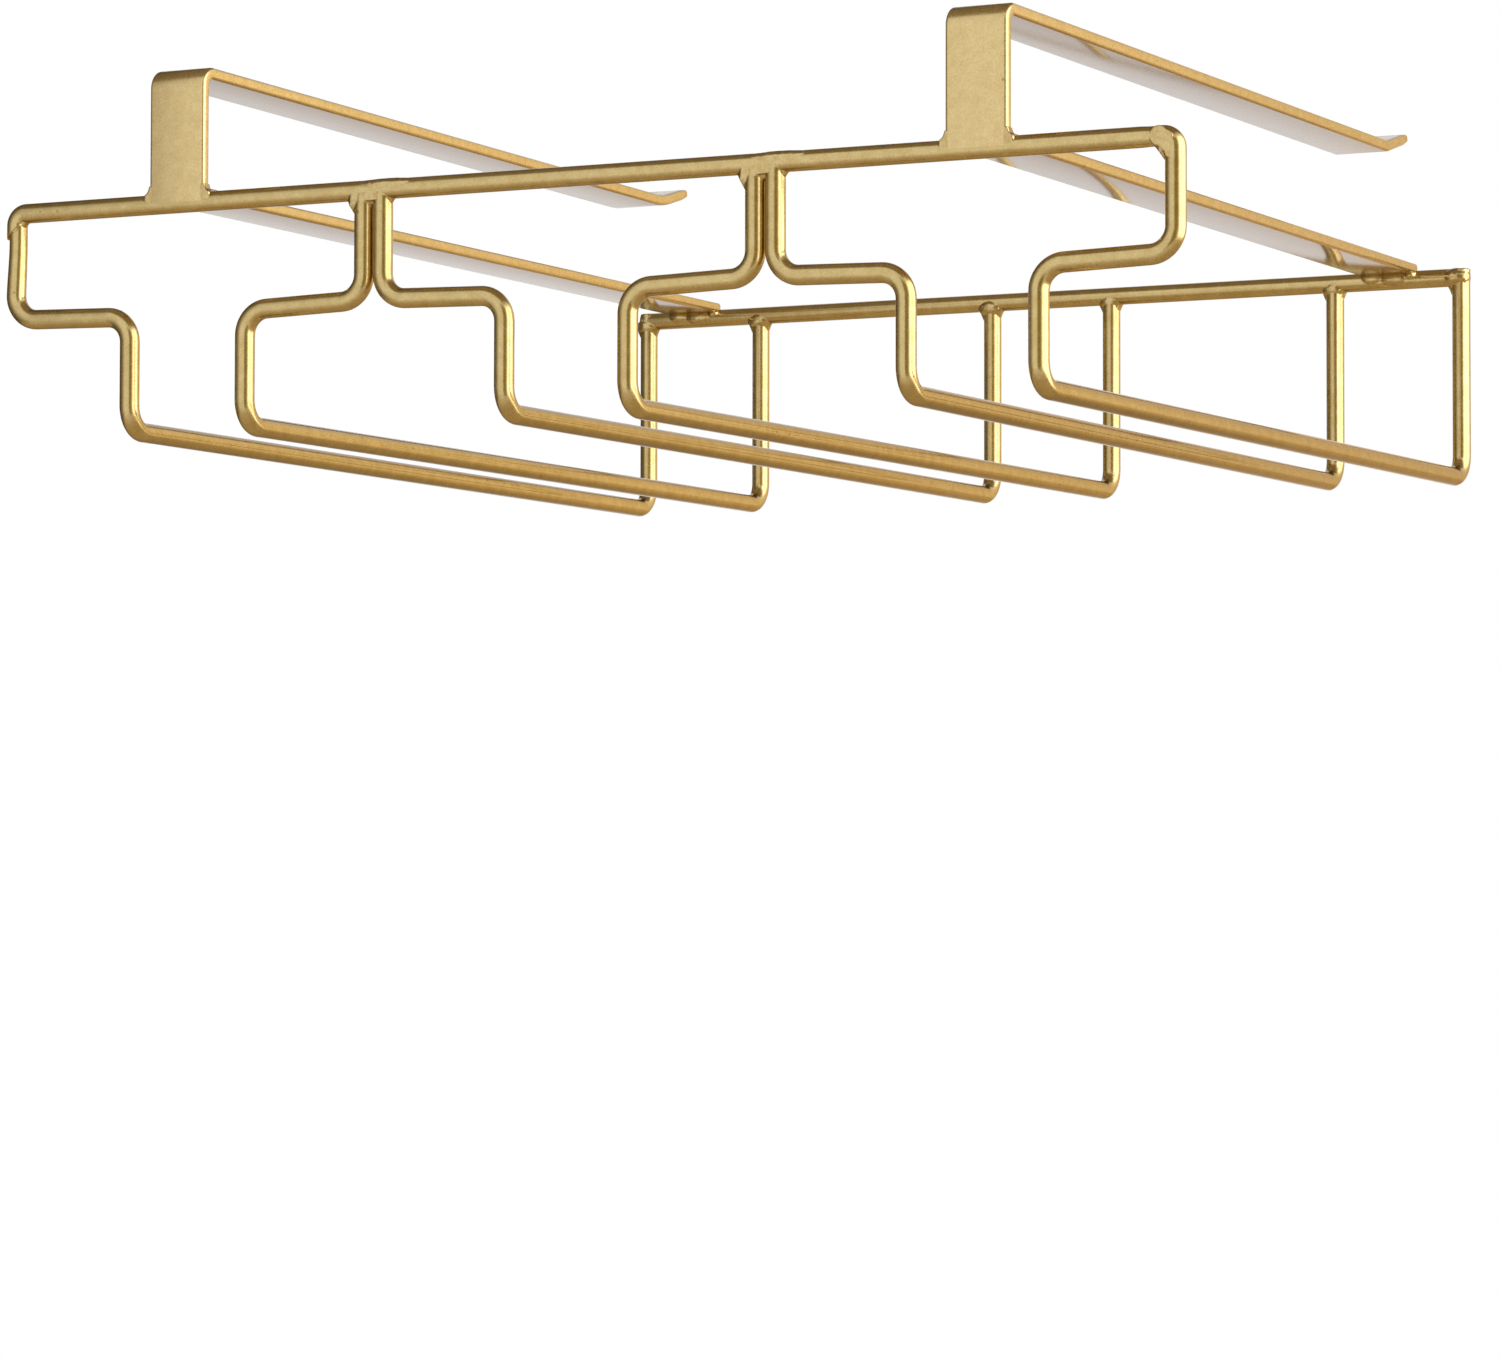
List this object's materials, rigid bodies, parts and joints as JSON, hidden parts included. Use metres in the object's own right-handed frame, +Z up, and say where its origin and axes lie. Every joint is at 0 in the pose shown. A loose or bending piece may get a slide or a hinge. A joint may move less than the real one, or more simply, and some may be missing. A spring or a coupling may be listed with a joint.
{
  "type": "hanging wine glass rack",
  "caption": "Stemware rack of satin gold wire and flat strip that slides over a shelf board; upturned glasses hang by their feet between its rails.",
  "frame": {"origin": "middle of the shelf board's top front edge: level with the undersides of the upper strips at the front, on the backs of the front plates, half way between the two clips", "axes": "+X to the right of someone who faces the rack, along the front bar; +Y from the front bar to the rear bar; +Z up"},
  "size_m": [0.3237, 0.285, 0.0959],
  "materials": {
    "gold_paint": "satin"
  },
  "bodies": {
    "root": {"clip_left": "gold_paint", "clip_right": "gold_paint", "front_bar": "gold_paint", "lower_strip_left": "gold_paint", "lower_strip_right": "gold_paint", "rail_wire_1": "gold_paint", "rail_wire_2": "gold_paint", "rail_wire_3": "gold_paint", "rail_wire_4": "gold_paint", "rail_wire_5": "gold_paint", "rail_wire_6": "gold_paint", "rear_bar": "gold_paint", "weld_front_1": "gold_paint", "weld_front_2": "gold_paint", "weld_front_3": "gold_paint", "weld_front_4": "gold_paint", "weld_front_5": "gold_paint", "weld_front_6": "gold_paint", "weld_plate_left_inner": "gold_paint", "weld_plate_left_outer": "gold_paint", "weld_plate_right_inner": "gold_paint", "weld_plate_right_outer": "gold_paint", "weld_rear_1": "gold_paint", "weld_rear_2": "gold_paint", "weld_rear_3": "gold_paint", "weld_rear_4": "gold_paint", "weld_rear_5": "gold_paint", "weld_rear_6": "gold_paint", "weld_strip_front_left": "gold_paint", "weld_strip_front_right": "gold_paint", "weld_strip_rear_left": "gold_paint", "weld_strip_rear_right": "gold_paint"}
  },
  "joints": []
}
